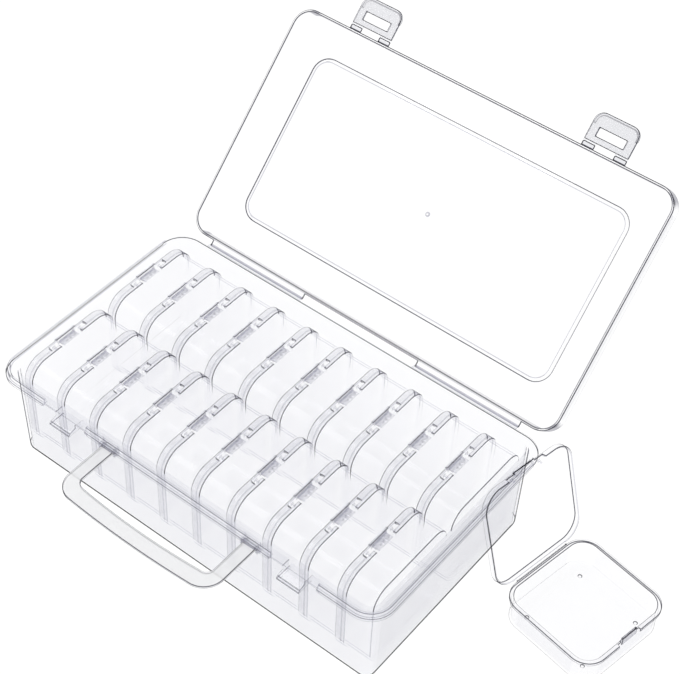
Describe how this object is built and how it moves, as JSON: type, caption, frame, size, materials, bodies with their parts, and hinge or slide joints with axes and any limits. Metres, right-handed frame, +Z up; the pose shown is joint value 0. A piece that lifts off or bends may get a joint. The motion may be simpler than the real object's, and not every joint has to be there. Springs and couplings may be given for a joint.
{
  "type": "photo keeper case",
  "caption": "Clear rectangular keeper case with hinged latching lid and swing handle, holding rows of small flat hinged boxes on edge, one more open beside it.",
  "frame": {"origin": "centre of the case underside, on the surface it stands on", "axes": "+X along the case, +Y towards the lid hinge, +Z up"},
  "size_m": [0.3084, 0.2702, 0.1599],
  "materials": {
    "case_clear": "clear polished",
    "lid_clear": "clear polished",
    "box_clear": "clear polished",
    "box_lid_clear": "clear polished",
    "latch_clear": "clear polished",
    "handle_clear": "clear polished",
    "film_clear": "clear polished"
  },
  "bodies": {
    "case": {"case_base": "case_clear", "hinge_film_left": "film_clear", "hinge_film_right": "film_clear", "handle_pin_left": "film_clear", "handle_pin_right": "film_clear"},
    "lid": {"case_lid": "lid_clear", "latch_left_film_a": "film_clear", "latch_left_film_b": "film_clear", "latch_right_film_a": "film_clear", "latch_right_film_b": "film_clear"},
    "latch_left": {"latch_left": "latch_clear"},
    "latch_right": {"latch_right": "latch_clear"},
    "handle": {"handle": "handle_clear"},
    "loose_box": {"loose_box_body": "box_clear"},
    "loose_box_lid": {"loose_box_lid": "box_lid_clear"},
    "box_01": {"box_body_01": "box_clear", "box_lid_01": "box_lid_clear"},
    "box_02": {"box_body_02": "box_clear", "box_lid_02": "box_lid_clear"},
    "box_03": {"box_body_03": "box_clear", "box_lid_03": "box_lid_clear"},
    "box_04": {"box_body_04": "box_clear", "box_lid_04": "box_lid_clear"},
    "box_05": {"box_body_05": "box_clear", "box_lid_05": "box_lid_clear"},
    "box_06": {"box_body_06": "box_clear", "box_lid_06": "box_lid_clear"},
    "box_07": {"box_body_07": "box_clear", "box_lid_07": "box_lid_clear"},
    "box_08": {"box_body_08": "box_clear", "box_lid_08": "box_lid_clear"},
    "box_09": {"box_body_09": "box_clear", "box_lid_09": "box_lid_clear"},
    "box_10": {"box_body_10": "box_clear", "box_lid_10": "box_lid_clear"},
    "box_11": {"box_body_11": "box_clear", "box_lid_11": "box_lid_clear"},
    "box_12": {"box_body_12": "box_clear", "box_lid_12": "box_lid_clear"},
    "box_13": {"box_body_13": "box_clear", "box_lid_13": "box_lid_clear"},
    "box_14": {"box_body_14": "box_clear", "box_lid_14": "box_lid_clear"},
    "box_15": {"box_body_15": "box_clear", "box_lid_15": "box_lid_clear"},
    "box_16": {"box_body_16": "box_clear", "box_lid_16": "box_lid_clear"},
    "box_17": {"box_body_17": "box_clear", "box_lid_17": "box_lid_clear"},
    "box_18": {"box_body_18": "box_clear", "box_lid_18": "box_lid_clear"},
    "box_19": {"box_body_19": "box_clear", "box_lid_19": "box_lid_clear"},
    "box_20": {"box_body_20": "box_clear", "box_lid_20": "box_lid_clear"}
  },
  "joints": [
    {"name": "lid_hinge", "type": "hinge", "parent": "case", "child": "lid", "pos_m": [0, 0.06606, 0.05465], "axis": [-1, 0, 0], "range_deg": [-134.4, 45.6]},
    {"name": "handle_swing", "type": "hinge", "parent": "case", "child": "handle", "pos_m": [0, -0.06376, 0.05095], "axis": [-1, 0, 0], "range_deg": [-88, 20]},
    {"name": "latch_left_hinge", "type": "hinge", "parent": "lid", "child": "latch_left", "pos_m": [-0.069, 0.16007, 0.1485], "axis": [-1, 0, 0], "range_deg": [-90, 80]},
    {"name": "latch_right_hinge", "type": "hinge", "parent": "lid", "child": "latch_right", "pos_m": [0.069, 0.16007, 0.1485], "axis": [-1, 0, 0], "range_deg": [-90, 80]},
    {"name": "box_01_lift", "type": "slide", "parent": "case", "child": "box_01", "axis": [0, 0, 1], "range_m": [0, 0.06]},
    {"name": "box_02_lift", "type": "slide", "parent": "case", "child": "box_02", "axis": [0, 0, 1], "range_m": [0, 0.06]},
    {"name": "box_03_lift", "type": "slide", "parent": "case", "child": "box_03", "axis": [0, 0, 1], "range_m": [0, 0.06]},
    {"name": "box_04_lift", "type": "slide", "parent": "case", "child": "box_04", "axis": [0, 0, 1], "range_m": [0, 0.06]},
    {"name": "box_05_lift", "type": "slide", "parent": "case", "child": "box_05", "axis": [0, 0, 1], "range_m": [0, 0.06]},
    {"name": "box_06_lift", "type": "slide", "parent": "case", "child": "box_06", "axis": [0, 0, 1], "range_m": [0, 0.06]},
    {"name": "box_07_lift", "type": "slide", "parent": "case", "child": "box_07", "axis": [0, 0, 1], "range_m": [0, 0.06]},
    {"name": "box_08_lift", "type": "slide", "parent": "case", "child": "box_08", "axis": [0, 0, 1], "range_m": [0, 0.06]},
    {"name": "box_09_lift", "type": "slide", "parent": "case", "child": "box_09", "axis": [0, 0, 1], "range_m": [0, 0.06]},
    {"name": "box_10_lift", "type": "slide", "parent": "case", "child": "box_10", "axis": [0, 0, 1], "range_m": [0, 0.06]},
    {"name": "box_11_lift", "type": "slide", "parent": "case", "child": "box_11", "axis": [0, 0, 1], "range_m": [0, 0.06]},
    {"name": "box_12_lift", "type": "slide", "parent": "case", "child": "box_12", "axis": [0, 0, 1], "range_m": [0, 0.06]},
    {"name": "box_13_lift", "type": "slide", "parent": "case", "child": "box_13", "axis": [0, 0, 1], "range_m": [0, 0.06]},
    {"name": "box_14_lift", "type": "slide", "parent": "case", "child": "box_14", "axis": [0, 0, 1], "range_m": [0, 0.06]},
    {"name": "box_15_lift", "type": "slide", "parent": "case", "child": "box_15", "axis": [0, 0, 1], "range_m": [0, 0.06]},
    {"name": "box_16_lift", "type": "slide", "parent": "case", "child": "box_16", "axis": [0, 0, 1], "range_m": [0, 0.06]},
    {"name": "box_17_lift", "type": "slide", "parent": "case", "child": "box_17", "axis": [0, 0, 1], "range_m": [0, 0.06]},
    {"name": "box_18_lift", "type": "slide", "parent": "case", "child": "box_18", "axis": [0, 0, 1], "range_m": [0, 0.06]},
    {"name": "box_19_lift", "type": "slide", "parent": "case", "child": "box_19", "axis": [0, 0, 1], "range_m": [0, 0.06]},
    {"name": "box_20_lift", "type": "slide", "parent": "case", "child": "box_20", "axis": [0, 0, 1], "range_m": [0, 0.06]},
    {"name": "loose_box_lift", "type": "slide", "parent": "case", "child": "loose_box", "axis": [0, 0, 1], "range_m": [0, 0.06]},
    {"name": "loose_box_lid_hinge", "type": "hinge", "parent": "loose_box", "child": "loose_box_lid", "pos_m": [0.1359, 0.03468, 0.0163], "axis": [-0.1685, -0.9857, 0], "range_deg": [-107, 0]}
  ]
}
